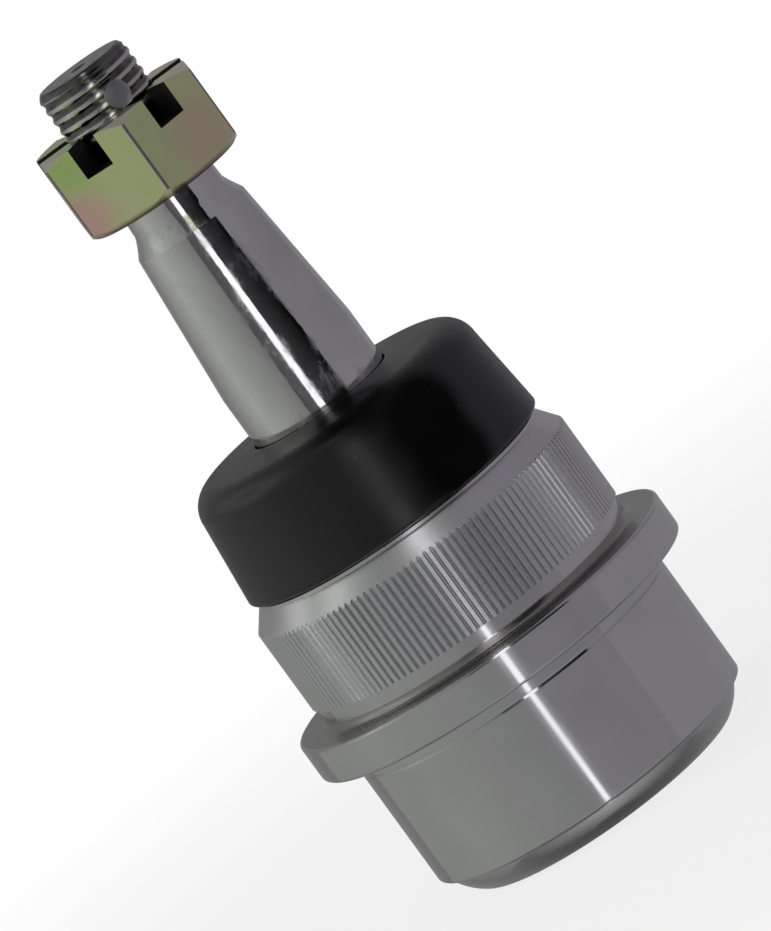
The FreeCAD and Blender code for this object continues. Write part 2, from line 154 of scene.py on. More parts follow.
class Finish:
    # a Principled material with a few short ways to add nodes
    def __init__(self, name):
        self.material = bpy.data.materials.new(name)
        self.material.use_nodes = True
        self.nodes = self.material.node_tree.nodes
        self.links = self.material.node_tree.links
        self.shader = self.nodes["Principled BSDF"]
        self.place = self.nodes.new("ShaderNodeTexCoord").outputs["Object"]

    def set(self, **values):
        for name, value in values.items():
            self.shader.inputs[name.replace("_", " ")].default_value = value

    def noise(self, stretch, detail=4, roughness=0.55, distortion=0.0):
        # stretch is in cycles per metre along x, y and z
        scaled = self.nodes.new("ShaderNodeVectorMath")
        scaled.operation = "MULTIPLY"
        scaled.inputs[1].default_value = stretch
        self.links.new(self.place, scaled.inputs[0])
        texture = self.nodes.new("ShaderNodeTexNoise")
        texture.inputs["Scale"].default_value = 1
        texture.inputs["Detail"].default_value = detail
        texture.inputs["Roughness"].default_value = roughness
        texture.inputs["Distortion"].default_value = distortion
        self.links.new(scaled.outputs[0], texture.inputs["Vector"])
        return texture.outputs["Fac"]

    def ramp(self, factor, stops):
        node = self.nodes.new("ShaderNodeValToRGB")
        elements = node.color_ramp.elements
        while len(elements) < len(stops):
            elements.new(0.5)
        for element, (position, colour) in zip(elements, stops):
            element.position = position
            element.color = (*colour, 1) if isinstance(colour, tuple) else (colour, colour, colour, 1)
        self.links.new(factor, node.inputs["Fac"])
        return node.outputs["Color"]

    def height(self):
        split = self.nodes.new("ShaderNodeSeparateXYZ")
        self.links.new(self.place, split.inputs[0])
        return split.outputs["Z"]

    def distance(self, centre):
        # from a point given in millimetres
        node = self.nodes.new("ShaderNodeVectorMath")
        node.operation = "DISTANCE"
        node.inputs[1].default_value = [part * mm for part in centre]
        self.links.new(self.place, node.inputs[0])
        return node.outputs["Value"]

    def reach(self):
        # distance from the axis
        flat = self.nodes.new("ShaderNodeVectorMath")
        flat.operation = "MULTIPLY"
        flat.inputs[1].default_value = (1, 1, 0)
        self.links.new(self.place, flat.inputs[0])
        node = self.nodes.new("ShaderNodeVectorMath")
        node.operation = "LENGTH"
        self.links.new(flat.outputs[0], node.inputs[0])
        return node.outputs["Value"]

    def span(self, value, low, high):
        # 0 below low, 1 above high
        node = self.nodes.new("ShaderNodeMapRange")
        node.interpolation_type = "SMOOTHSTEP"
        node.inputs["From Min"].default_value = low
        node.inputs["From Max"].default_value = high
        self.links.new(value, node.inputs["Value"])
        return node.outputs["Result"]

    def blend(self, factor, first, second, kind="MIX"):
        node = self.nodes.new("ShaderNodeMix")
        node.data_type = "RGBA"
        node.blend_type = kind
        sockets = [socket for socket in node.inputs if socket.type == "RGBA"]
        for value, socket in ((first, sockets[0]), (second, sockets[1])):
            if isinstance(value, tuple):
                socket.default_value = (*value, 1)
            else:
                self.links.new(value, socket)
        if isinstance(factor, float):
            node.inputs["Factor"].default_value = factor
        else:
            self.links.new(factor, node.inputs["Factor"])
        return next(output for output in node.outputs if output.type == "RGBA")

    def colour(self, output):
        self.links.new(output, self.shader.inputs["Base Color"])

    def roughness(self, output):
        self.links.new(output, self.shader.inputs["Roughness"])

    def bump(self, *layers):
        # (height, strength, distance in millimetres), one over the other
        below = None
        for height, strength, distance in layers:
            node = self.nodes.new("ShaderNodeBump")
            node.inputs["Strength"].default_value = strength
            node.inputs["Distance"].default_value = distance * mm
            self.links.new(height, node.inputs["Height"])
            if below:
                self.links.new(below, node.inputs["Normal"])
            below = node.outputs["Normal"]
        self.links.new(below, self.shader.inputs["Normal"])

    def gloss(self, output):
        self.links.new(output, self.shader.inputs["Specular IOR Level"])

    def grainAcross(self, amount):
        # turned grain runs round the axis, so a highlight is drawn out along it
        self.set(Anisotropic=amount, Anisotropic_Rotation=0.25)
        node = self.nodes.new("ShaderNodeTangent")
        node.direction_type = "RADIAL"
        node.axis = "Z"
        self.links.new(node.outputs["Tangent"], self.shader.inputs["Tangent"])


# finishes; places on the part are in millimetres

# painted shade in the bottoms of the serrations, fading out in the taper
paintedGrooveShade = dict(radius=28.05, depth=0.36, fadeFrom=49.5, fadeTo=51.5, colour=(0.42, 0.42, 0.43))
# crest wear by distance from the axis, and heights where the painted shade on the thread inside the nut ends
threadWearAndShade = dict(valleyRadius=7.68, crestRadius=7.81, nutShadeFrom=126.4, nutShadeTo=127.3)
# painted dark reflection along the hexagon's corners and painted shade on the lower bevel
nutPaintedShade = dict(cornerFrom=15.07, cornerTo=15.16, bevelFrom=114.2, bevelTo=115.2)
# patches where the plating turned pink, green or brown: centre, size, colour
platingPatches = [
    ((-12.5, -7.0, 118.0), 6.5, (0.84, 0.56, 0.47)),
    ((-10.0, -8.5, 126.0), 4.5, (0.55, 0.74, 0.28)),
    ((9.0, -9.5, 119.0), 6.5, (0.76, 0.66, 0.44)),
    ((12.0, 8.0, 122.0), 6.0, (0.88, 0.54, 0.48)),
    ((-3.0, 13.0, 119.0), 5.5, (0.56, 0.74, 0.30)),
]
# spots of the boot with their gloss taken away, painted shade where its front is dark: centre, size of the
# dull middle and of the whole spot
paintedShadeSpots = [
    ((11.5, -23.0, 59.5), 4.5, 8.5),
    ((11.5, -22.0, 67.0), 4.5, 8.5),
    ((3.0, -19.0, 76.0), 5.5, 10.0),
]


def turnedSteel(name, colour=(0.60, 0.60, 0.60), roughness=(0.10, 0.15), lines=5200, grain=0.8, depth=0.0025,
                grooveShade=None):
    # lines are tool marks per metre of height, depth is how deep they look
    finish = Finish(name)
    finish.set(Metallic=1.0)
    stain = finish.noise((45, 45, 60), detail=4)
    stained = tuple(part * 0.94 for part in colour)
    surface = finish.ramp(stain, [(0.35, stained), (0.62, colour)])
    if grooveShade:  # painted shade: dark in the bottoms of the serrations, under the taper
        sunk = finish.span(finish.reach(), (grooveShade["radius"] - grooveShade["depth"]) * mm, grooveShade["radius"] * mm)
        taper = finish.span(finish.height(), grooveShade["fadeFrom"] * mm, grooveShade["fadeTo"] * mm)
        surface = finish.blend(taper, finish.blend(sunk, grooveShade["colour"], surface), surface)
    finish.colour(surface)
    toolMarks = finish.noise((18, 18, lines), detail=3, roughness=0.7)
    low, high = roughness
    finish.roughness(finish.ramp(finish.noise((60, 60, 90)), [(0.35, low), (0.7, high)]))
    finish.bump((toolMarks, 0.35, depth))
    finish.grainAcross(grain)
    return finish.material


def polishedSteel(name):
    finish = Finish(name)
    finish.set(Metallic=1.0)
    haze = finish.noise((70, 70, 45), detail=6, distortion=0.6)
    finish.colour(finish.ramp(haze, [(0.3, (0.60, 0.60, 0.59)), (0.65, (0.72, 0.72, 0.71))]))
    smudges = finish.noise((380, 380, 170), detail=8, roughness=0.75, distortion=0.3)
    finish.roughness(finish.ramp(smudges, [(0.46, 0.05), (0.54, 0.13), (0.60, 0.25)]))
    dents = finish.noise((480, 480, 200), detail=3, distortion=0.5)
    lines = finish.noise((22, 22, 3600), detail=2)
    finish.bump((dents, 0.45, 0.03), (lines, 0.12, 0.004))
    finish.grainAcross(0.35)
    return finish.material


def wornAndShadedThread(name):
    # dark between the ridges and worn bright on the crests; painted shade, near black, on the thread under
    # the nut's top
    finish = Finish(name)
    finish.set(Metallic=1.0)
    grime = finish.noise((300, 300, 300), detail=6)
    valley = finish.ramp(grime, [(0.35, (0.08, 0.075, 0.075)), (0.7, (0.19, 0.18, 0.18))])
    crest = finish.span(finish.reach(), threadWearAndShade["valleyRadius"] * mm, threadWearAndShade["crestRadius"] * mm)
    worn = finish.blend(crest, valley, (0.62, 0.61, 0.60))
    # painted shade: near black on the thread inside the nut, seen through its slots
    clear = finish.span(finish.height(), threadWearAndShade["nutShadeFrom"] * mm, threadWearAndShade["nutShadeTo"] * mm)
    finish.colour(finish.blend(clear, (0.012, 0.011, 0.011), worn))
    finish.roughness(finish.ramp(finish.noise((500, 500, 500)), [(0.3, 0.12), (0.7, 0.26)]))
    finish.bump((finish.noise((1500, 1500, 1500), detail=3), 0.25, 0.03))
    return finish.material


def yellowZinc(name):
    finish = Finish(name)
    finish.set(Metallic=1.0)
    bloom = finish.noise((38, 38, 38), detail=2, distortion=0.4)
    yellow, olive, green = (0.82, 0.73, 0.49), (0.77, 0.76, 0.44), (0.69, 0.79, 0.40)
    hue = finish.ramp(bloom, [(0.36, yellow), (0.48, olive), (0.62, green)])
    for centre, size, tint in platingPatches:
        away = finish.span(finish.distance(centre), size * 0.3 * mm, size * 1.3 * mm)
        hue = finish.blend(away, tint, hue)
    # painted dark reflection along the hexagon's rounded corners
    corner = finish.span(finish.reach(), nutPaintedShade["cornerFrom"] * mm, nutPaintedShade["cornerTo"] * mm)
    hue = finish.blend(corner, hue, (0.22, 0.19, 0.25))
    # painted shade on the down-facing lower bevel
    bevel = finish.span(finish.height(), nutPaintedShade["bevelFrom"] * mm, nutPaintedShade["bevelTo"] * mm)
    hue = finish.blend(bevel, (0.20, 0.15, 0.11), hue)
    finish.colour(hue)
    finish.roughness(finish.ramp(finish.noise((260, 260, 260), detail=4), [(0.3, 0.18), (0.7, 0.3)]))
    finish.bump((finish.noise((700, 700, 700), detail=2), 0.05, 0.02))
    return finish.material


def satinRubber(name):
    finish = Finish(name)
    bloom = finish.noise((90, 90, 90), detail=4)
    base = finish.ramp(bloom, [(0.3, (0.004, 0.004, 0.005)), (0.75, (0.007, 0.007, 0.008))])
    gloss = (0.55, 0.55, 0.55)
    # painted shade: the gloss is taken away in spots
    for centre, middle, whole in paintedShadeSpots:
        away = finish.span(finish.distance(centre), middle * mm, whole * mm)
        kept = finish.blend(away, (0.03, 0.03, 0.03), (1.0, 1.0, 1.0))
        gloss = finish.blend(1.0, gloss, kept, "MULTIPLY")
    finish.gloss(gloss)
    specks = finish.ramp(finish.noise((900, 900, 900), detail=2), [(0.77, 0.0), (0.80, 1.0)])
    finish.colour(finish.blend(specks, base, (0.09, 0.09, 0.09)))
    finish.roughness(finish.ramp(bloom, [(0.3, 0.28), (0.7, 0.38)]))
    finish.bump((finish.noise((1400, 1400, 1400), detail=3), 0.12, 0.05))
    return finish.material


def plainMetal(name, colour, roughness, metallic=1.0):
    finish = Finish(name)
    finish.set(Metallic=metallic)
    darker = tuple(part * 0.8 for part in colour)
    finish.colour(finish.ramp(finish.noise((80, 80, 80), detail=5), [(0.35, darker), (0.65, colour)]))
    wear = finish.noise((400, 400, 400))
    finish.roughness(finish.ramp(wear, [(0.3, roughness * 0.8), (0.7, roughness * 1.2)]))
    finish.bump((finish.noise((30, 30, 4000), detail=2), 0.2, 0.01))
    return finish.material


housingSteel = turnedSteel("housingSteel")
# the band's serrations get painted shade in their bottoms
bandSteel = turnedSteel("bandSteel", colour=(0.66, 0.66, 0.67), roughness=(0.25, 0.33), grain=0.0, lines=3000,
                        depth=0.008, grooveShade=paintedGrooveShade)
seatSteel = turnedSteel("seatSteel", colour=(0.36, 0.35, 0.335), roughness=(0.24, 0.30), grain=0.3)
paleBevelPlating = plainMetal("paleBevelPlating", (0.95, 0.88, 0.84), 0.3)
# painted shade: near black for the insides of the nut's slots
paintedSlotShade = plainMetal("paintedSlotShade", (0.02, 0.019, 0.018), 0.5, metallic=0.0)
holeSteel = plainMetal("holeSteel", (0.85, 0.85, 0.88), 0.5, metallic=0.3)
studSteel = polishedSteel("studSteel")
threadSteel = wornAndShadedThread("threadSteel")
nutPlating = yellowZinc("nutPlating")
bootRubber = satinRubber("bootRubber")
print("finishes made")


# housing: the turned body and, pressed round it, the serrated band with its collar

housing = dict(
    lipFoot=23.0, lipRadius=26.4, lipRise=4.3, lipRound=9.0, lipBore=20.6,
    barrelRadius=27.75, barrelEdge=1.2, barrelLine=24.8, lineDepth=0.07,
    flangeRadius=32.95, flangeBottom=27.25, seatPlane=33.45, undercutRadius=27.5, undercutRound=1.4,
    bandRadius=28.1, bandBottom=37.1, bandTop=50.85, bandFoot=27.4, bandBore=24.4,
    collarRadius=25.4, collarBottom=54.4, collarTop=55.0, coreRadius=24.6, neckRadius=23.4, top=58.55,
    mouthRadius=21.85, throatRadius=15.24, throatHeight=45.0, chamberRadius=21.5, chamberFoot=5.0,
    coverRadius=22.3, coverFoot=2.4,
)


def housingProfile():
    lip, rise, lipFoot = housing["lipRadius"], housing["lipRise"], housing["lipFoot"]
    bore, flangeBottom = housing["lipBore"], housing["flangeBottom"]
    barrel, line = housing["barrelRadius"], housing["barrelLine"]
    flange, seat, undercut = housing["flangeRadius"], housing["seatPlane"], housing["undercutRadius"]
    core, neck, coreTop = housing["coreRadius"], housing["neckRadius"], housing["collarTop"] - 0.1
    throat, throatHeight = housing["throatRadius"], housing["throatHeight"]
    chamber, chamberFoot = housing["chamberRadius"], housing["chamberFoot"]
    cover, coverFoot = housing["coverRadius"], housing["coverFoot"]
    foot = [Vector(corner) for corner in ((bore + 1.0, 0), (lipFoot - 0.2, 0), (lipFoot + 0.05, 0.02))]
    rolledLip = arc((lipFoot + 0.3, 0.15), (lip, rise - 0.35), housing["lipRound"])
    outside = [
        # the crack between the rolled lip and the barrel
        (lip + 0.02, rise - 0.3, 0), (lip - 0.2, rise - 0.15, 0.03), (lip + 0.15, rise + 0.05, 0.05),
        (barrel, rise, housing["barrelEdge"]),
        # the fine line round the barrel
        (barrel, line - 0.45, 0), (barrel, line - 0.35, 0), (barrel - housing["lineDepth"], line, 0.1),
        (barrel, line + 0.2, 0), (barrel, line + 0.3, 0),
        # flange, undercut and the core that the band sits on
        (barrel, flangeBottom, 0.2), (flange, flangeBottom, 0.6), (flange, seat, 0.45),
        (undercut, seat, housing["undercutRound"]), (undercut, housing["bandBottom"], 0.08),
        (core, housing["bandBottom"], 0.1), (core, coreTop, 0.1), (neck, coreTop, 0.1),
        (neck, housing["top"], 0.4),
    ]
    inside = [
        (housing["mouthRadius"], housing["top"], 0.2), (throat, throatHeight, 0.1),
        (chamber, throatHeight, 0.1), (chamber, chamberFoot, 0.1),
        (cover, chamberFoot, 0.1), (cover, coverFoot, 0.1),
        (bore, coverFoot, 0.2), (bore, 0.8, 0), (bore + 0.25, 0.25, 0), (bore + 0.6, 0.05, 0),
    ]
    return foot + rolledLip + bend(outside + inside)


housingBody = turnOnLathe("housingBody", housingProfile(), evenAngles(360), housingSteel, closed=True)
housingBody.data.materials.append(seatSteel)
seatLow, seatHigh = (housing["seatPlane"] - 0.02) * mm, (housing["seatPlane"] + 1.42) * mm
seatReach = (housing["flangeRadius"] - 0.6) * mm
for face in housingBody.data.polygons:
    if seatLow < face.center.z < seatHigh and face.center.to_2d().length < seatReach:
        face.material_index = 1  # the dull seat on top of the flange and its fillet
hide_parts("housing")
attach(housingBody, "housing")

serrations = dict(count=144, depth=0.34, land=0.56, rootFlat=0.12, crestRound=0.05,
                  runOut=0.24, runOutRows=14)


def serrationAngles():
    # each pitch has a flat crest, a flat root and two curved flanks between them
    pitch = 2 * math.pi / serrations["count"]
    halfLand = serrations["land"] / 2 / housing["bandRadius"]
    soft = serrations["crestRound"] / housing["bandRadius"]
    halfRoot = serrations["rootFlat"] / 2 / housing["bandRadius"]
    flank = [halfLand + (pitch / 2 - halfRoot - halfLand) * share for share in (0.3, 0.7, 1)]
    crest = [-halfLand, -halfLand + soft * 2, halfLand - soft * 2, halfLand]
    offsets = [-flank[1], -flank[0]] + crest + flank + [pitch - flank[2]]
    return [k * pitch + offset for k in range(serrations["count"]) for offset in offsets]


def serrationCut(radius, height, angle):
    # the collar and the bore stay round
    if height > housing["collarBottom"] - 0.5 or radius < housing["coreRadius"] + 0.5:
        return radius
    pitch = 2 * math.pi / serrations["count"]
    fromCrest = abs((angle / pitch + 0.5) % 1 - 0.5) * pitch * housing["bandRadius"]
    halfLand = serrations["land"] / 2
    rootAt = pitch * housing["bandRadius"] / 2 - serrations["rootFlat"] / 2
    share = min(max((fromCrest - halfLand) / (rootAt - halfLand), 0), 1)
    return min(radius, housing["bandRadius"] - (0.5 - 0.5 * math.cos(math.pi * share)) * serrations["depth"])


def bandProfile():
    # the serrations run out in the lower part of the taper, which has rows for them
    radius, bottom, bandTop = housing["bandRadius"], housing["bandBottom"], housing["bandTop"]
    corners = [(housing["bandBore"], bottom), (housing["bandFoot"], bottom), (radius, bottom)]
    corners += [(radius, bottom + 0.15), (radius, bandTop - 0.15)]
    fall = radius - housing["collarRadius"]
    rise = housing["collarBottom"] - bandTop
    for k in range(serrations["runOutRows"]):
        share = serrations["runOut"] * k / (serrations["runOutRows"] - 1)
        corners.append((radius - fall * share, bandTop + rise * share))
    collar = bend([
        (radius - fall * 0.5, bandTop + rise * 0.5, 0),
        (housing["collarRadius"], housing["collarBottom"], 0.3),
        (housing["collarRadius"], housing["collarTop"], 0.25), (housing["bandBore"], housing["collarTop"], 0),
    ])
    return [Vector(corner) for corner in corners] + collar


serratedBand = turnOnLathe("serratedBand", bandProfile(), serrationAngles(), bandSteel, closed=True,
                           cut=serrationCut, sharpAngle=24)
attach(serratedBand, "housing")
print("housing made")


# ball stud: ball, neck, shank, taper, and the thread cut as a helix

stud = dict(
    ballCentre=35.0, ballRadius=18.0, ballFlat=16.8, neckRadius=9.0, neckFoot=51.6, neckTop=66.0,
    shankRadius=11.66, shankBottom=68.5, taperBottom=83.0, taperTop=107.5, taperTopRadius=9.618,
    waistRadius=7.98, flareTop=110.8, waistTop=111.6, threadRadius=7.82, threadFoot=113.9,
    tip=136.4, chamfer=1.3, chamferDepth=0.75, centreMark=1.3, centreMarkDepth=1.2,
)
thread = dict(pitch=1.8, depth=0.32, start=114.3, finishFrom=114.1, fadeIn=1.5, rowsPerTurn=22, phase=0.83,
              crestShare=0.1)
crossHole = dict(radius=2.15, height=130.6, turn=20.0, drillLength=24.0)


def threadCut(radius, height, angle):
    if height < thread["start"] or radius < stud["threadRadius"] - 1.6:  # below it, or on the tip's face
        return radius
    position = (height / thread["pitch"] - angle / (2 * math.pi) + thread["phase"]) % 1
    flank = (abs(position - 0.5) * 2 - thread["crestShare"]) / (1 - 2 * thread["crestShare"])
    fade = min((height - thread["start"]) / thread["fadeIn"], 1)
    sink = (0.5 - 0.5 * math.cos(math.pi * min(max(flank, 0), 1))) * thread["depth"] * fade
    return min(radius, stud["threadRadius"] - sink)


def ballPoints(steps=32):
    start = math.acos(stud["ballFlat"] / stud["ballRadius"])
    end = math.pi - math.asin((stud["neckRadius"] + 1.5) / (stud["ballRadius"] + 1.5))
    points = [Vector((0, stud["ballCentre"] - stud["ballFlat"]))]
    for k in range(steps + 1):
        angle = start + (end - start) * k / steps
        height = stud["ballCentre"] - stud["ballRadius"] * math.cos(angle)
        points.append(Vector((stud["ballRadius"] * math.sin(angle), height)))
    return points


def flarePoints(steps=14):
    # a hollow curve from the taper's end to the waist
    waist, height = stud["waistRadius"], stud["flareTop"]
    reach = stud["taperTopRadius"] - 0.03 - waist
    rise = height - stud["taperTop"] - 0.03
    shares = [1 - k / steps for k in range(steps + 1)]
    return [Vector((waist + reach * share ** 1.2, height - rise * share)) for share in shares]


def threadPoints(chamferSteps=8):
    rise = stud["tip"] - stud["chamfer"] - thread["start"]
    rows = int(rise / thread["pitch"] * thread["rowsPerTurn"])
    points = [Vector((stud["threadRadius"], thread["start"] + rise * k / rows)) for k in range(rows + 1)]
    for k in range(1, chamferSteps + 1):
        share = k / chamferSteps
        points.append(Vector((stud["threadRadius"] - stud["chamferDepth"] * share ** 1.5,
                              stud["tip"] - stud["chamfer"] * (1 - share))))
    tipRadius = stud["threadRadius"] - stud["chamferDepth"]
    return points + [Vector((tipRadius * (1 - k / 9), stud["tip"])) for k in range(1, 8)]


def studProfile():
    body = bend([
        (stud["neckRadius"] + 0.3, stud["neckFoot"] - 1.0, 0), (stud["neckRadius"], stud["neckFoot"], 0.4),
        (stud["neckRadius"], stud["neckTop"], 1.0), (stud["shankRadius"], stud["shankBottom"], 0.6),
        (stud["shankRadius"], stud["taperBottom"], 0.5),
        (stud["taperTopRadius"] + 0.012, stud["taperTop"] - 0.15, 0),
    ])
    taperEnd = [Vector((stud["taperTopRadius"], stud["taperTop"] - 0.02))]
    waist = [Vector((stud["waistRadius"] - 0.02, stud["waistTop"]))]
    waist.append(Vector((stud["threadRadius"] + 0.04, stud["threadFoot"])))
    waist.append(Vector((stud["threadRadius"], thread["start"] - 0.1)))
    mark = [Vector((stud["centreMark"], stud["tip"])), Vector((0.7, stud["tip"] - 0.7))]
    mark.append(Vector((0, stud["tip"] - stud["centreMarkDepth"])))
    return ballPoints() + body + taperEnd + flarePoints() + waist + threadPoints() + mark


def drillHole(piece):
    reach = crossHole["drillLength"] / 2
    corners = [(0, -reach), (crossHole["radius"], -reach), (crossHole["radius"], reach), (0, reach)]
    drill = turnOnLathe("drill", [Vector(corner) for corner in corners], evenAngles(48), threadSteel)
    middle = Vector((0, 0, crossHole["height"] * mm))
    lying = Matrix.Rotation(math.radians(90), 4, "X")
    turn = Matrix.Rotation(math.radians(crossHole["turn"]), 4, "Z") @ lying
    drill.matrix_world = Matrix.Translation(middle) @ turn
    bpy.context.view_layer.update()
    carve(piece, drill, sharpAngle=62)
    piece.data.materials.append(holeSteel)
    way = turn.to_3x3() @ Vector((0, 0, 1))
    for face in piece.data.polygons:
        offset = Vector(face.center) - middle
        if (offset - way * offset.dot(way)).length < crossHole["radius"] * 1.002 * mm:
            face.material_index = 2  # the hole's wall


studBody = turnOnLathe("studBody", studProfile(), evenAngles(192), studSteel, cut=threadCut)
studBody.data.materials.append(threadSteel)
for face in studBody.data.polygons:
    if face.center.z > thread["finishFrom"] * mm:
        face.material_index = 1  # the thread end
drillHole(studBody)
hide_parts("ball_stud")
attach(studBody, "stud")
print("stud made")


# castellated nut: a hexagon turned at both faces, bored and slotted

nut = dict(flats=26.4, bottom=114.05, top=128.4, turn=1.5, lowerFace=12.68, upperFace=13.6, bevelAngle=33.0,
           bore=7.9, lowerChamfer=0.6, upperChamfer=0.5, edge=0.2, paleBevelFrom=12.0,
           slots=6, slotWidth=5.05, slotDepth=5.2, slotReach=40.0)
nutCorner = nut["flats"] / 2 / math.cos(math.radians(30))


def makeHexagon():
    mesh = bmesh.new()
    rings = []
    for height in (nut["bottom"], nut["top"]):
        ring = []
        for k in range(6):
            angle = math.radians(30 + 60 * k)
            across, along = nutCorner * math.cos(angle) * mm, nutCorner * math.sin(angle) * mm
            ring.append(mesh.verts.new((across, along, height * mm)))
        rings.append(ring)
    for k in range(6):
        mesh.faces.new((rings[0][k], rings[0][(k + 1) % 6], rings[1][(k + 1) % 6], rings[1][k]))
    mesh.faces.new(rings[0][::-1])
    mesh.faces.new(rings[1])
    return finishMesh("castleNut", mesh, nutPlating)


def makeBlank():
    # what the lathe leaves: both bevels, reaching past the hexagon, and the bore
    slope = math.tan(math.radians(nut["bevelAngle"]))
    outside = nutCorner + 2
    corners = [
        (nut["bore"] + nut["lowerChamfer"], nut["bottom"]), (nut["lowerFace"], nut["bottom"]),
        (outside, nut["bottom"] + (outside - nut["lowerFace"]) * slope),
        (outside, nut["top"] - (outside - nut["upperFace"]) * slope), (nut["upperFace"], nut["top"]),
        (nut["bore"] + nut["upperChamfer"], nut["top"]), (nut["bore"], nut["top"] - nut["upperChamfer"]),
        (nut["bore"], nut["bottom"] + nut["lowerChamfer"]),
    ]
    profile = [Vector(corner) for corner in corners]
    return turnOnLathe("blank", profile, evenAngles(96), nutPlating, closed=True)


def makeCutter(k):
    # cuts two slots that face each other
    mesh = bmesh.new()
    bmesh.ops.create_cube(mesh, size=1)
    cutter = finishMesh("cutter", mesh, nutPlating)
    size = Matrix.Diagonal((nut["slotReach"] * mm, nut["slotWidth"] * mm, 2 * nut["slotDepth"] * mm, 1))
    place = Matrix.Rotation(math.radians(60 * k), 4, "Z") @ Matrix.Translation((0, 0, nut["top"] * mm))
    cutter.matrix_world = place @ size
    bpy.context.view_layer.update()
    return cutter


def paintNut(piece):
    floor = (nut["top"] - nut["slotDepth"]) * mm
    piece.data.materials.append(paintedSlotShade)
    piece.data.materials.append(paleBevelPlating)
    for face in piece.data.polygons:
        outward = Vector((face.center.x, face.center.y, 0)).normalized()
        onBevel = 0.4 < face.normal.z < 0.95 and face.center.to_2d().length > nut["paleBevelFrom"] * mm
        if onBevel and face.center.z > floor:
            face.material_index = 2  # the paler bevel on top
        elif face.center.z < floor - 1e-6 or face.normal.dot(outward) > 0.3:
            continue  # below the slots, or one of the six sides
        elif face.normal.z < 0.4 or face.center.z < floor + 1e-5:
            face.material_index = 1  # the slots' walls and floors, painted near black as shade


def softenEdges(piece, width):
    soft = piece.modifiers.new("edges", "BEVEL")
    soft.width = width * mm
    soft.segments = 3
    soft.limit_method = "ANGLE"
    soft.angle_limit = math.radians(24)
    soft.harden_normals = True
    graph = bpy.context.evaluated_depsgraph_get()
    rounded = bpy.data.meshes.new_from_object(piece.evaluated_get(graph))
    piece.modifiers.clear()
    piece.data = rounded


def makeNut():
    piece = makeHexagon()
    carve(piece, makeBlank(), "INTERSECT")
    for k in range(nut["slots"] // 2):
        carve(piece, makeCutter(k))
    paintNut(piece)
    piece.data.transform(Matrix.Rotation(math.radians(nut["turn"]), 4, "Z"))
    softenEdges(piece, nut["edge"])
    return piece


castleNut = makeNut()
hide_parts("castle_nut")
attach(castleNut, "nut")
print("nut made")


# dust boot: two pieces that meet in the wall, and the lip

boot = dict(
    footRadius=26.45, footBottom=55.3, footTop=57.5, wallRadius=25.05, wall=1.4, seam=62.5,
    shoulder=69.3, crown=4.6, ceiling=71.9, ceilingRadius=22.9,
    lipRoot=16.2, lipRootTop=74.17, lipRiseRadius=14.2, lipRise=74.3, lipRadius=13.0, lipTop=74.45,
    lipBore=11.96,
    # room for the ring in the foot, for the housing's neck and for the ring under the lip
    baseRingRadius=24.9, baseRingTop=58.35, neckRadius=23.7, neckTop=58.85, innerRadius=22.1, innerTop=60.15,
    innerWall=61.45, topRingRadius=13.92, topRingTop=73.15,
    sleeveRadius=14.4, sleeveBottom=69.3, sleeveRoot=15.4,
)


def wallRadiusAt(height):
    share = (height - boot["footBottom"]) / (boot["shoulder"] - boot["footBottom"])
    return boot["footRadius"] + (boot["wallRadius"] - boot["footRadius"]) * share


def wallRows(low, high, inset, rows=16):
    heights = [low + (high - low) * k / rows for k in range(rows + 1)]
    return [Vector((wallRadiusAt(height) - inset, height)) for height in heights]


def lowerProfile():
    foot = bend([
        (boot["baseRingRadius"], boot["baseRingTop"], 0.1),
        (boot["baseRingRadius"], boot["footBottom"], 0.25),
        (boot["footRadius"], boot["footBottom"], 1.0), (wallRadiusAt(boot["footTop"]), boot["footTop"], 0),
    ])
    inside = bend([
        (boot["innerRadius"], boot["innerTop"], 0.3), (boot["innerRadius"], boot["neckTop"], 0.2),
        (boot["neckRadius"], boot["neckTop"], 0.1), (boot["neckRadius"], boot["baseRingTop"], 0.1),
    ])
    outerWall = wallRows(boot["footTop"] + 0.3, boot["seam"], 0)
    return foot + outerWall + wallRows(boot["innerWall"], boot["seam"], boot["wall"])[::-1] + inside


def upperProfile():
    wall, shoulder, crown = boot["wallRadius"], boot["shoulder"], boot["crown"]
    rounded = arc((wall - 0.01, shoulder), (wall - crown, shoulder + crown), crown, 14)
    flat = [Vector((wall - crown - 0.8, shoulder + crown + 0.05))]
    under = bend([
        (boot["lipRoot"], boot["lipRootTop"], 0), (boot["lipRoot"], boot["ceiling"], 0),
        (boot["ceilingRadius"], boot["ceiling"], 2.5),
        (wallRadiusAt(shoulder - 0.3) - boot["wall"], shoulder - 0.3, 0),
    ], 8)
    innerWall = wallRows(boot["seam"], shoulder - 0.6, boot["wall"])[::-1]
    return wallRows(boot["seam"], shoulder - 0.4, 0) + rounded + flat + under + innerWall


def lipProfile():
    return bend([
        (boot["lipRoot"], boot["lipRootTop"], 0), (boot["lipRiseRadius"], boot["lipRise"], 0),
        (boot["lipRadius"], boot["lipTop"], 0.2), (boot["lipBore"], boot["lipTop"], 0.15),
        (boot["lipBore"], boot["topRingTop"], 0.1), (boot["topRingRadius"], boot["topRingTop"], 0.1),
        (boot["topRingRadius"], boot["sleeveBottom"], 0.1), (boot["sleeveRadius"], boot["sleeveBottom"], 0.2),
        (boot["sleeveRoot"], boot["ceiling"], 0), (boot["lipRoot"], boot["ceiling"], 0),
    ], 8)


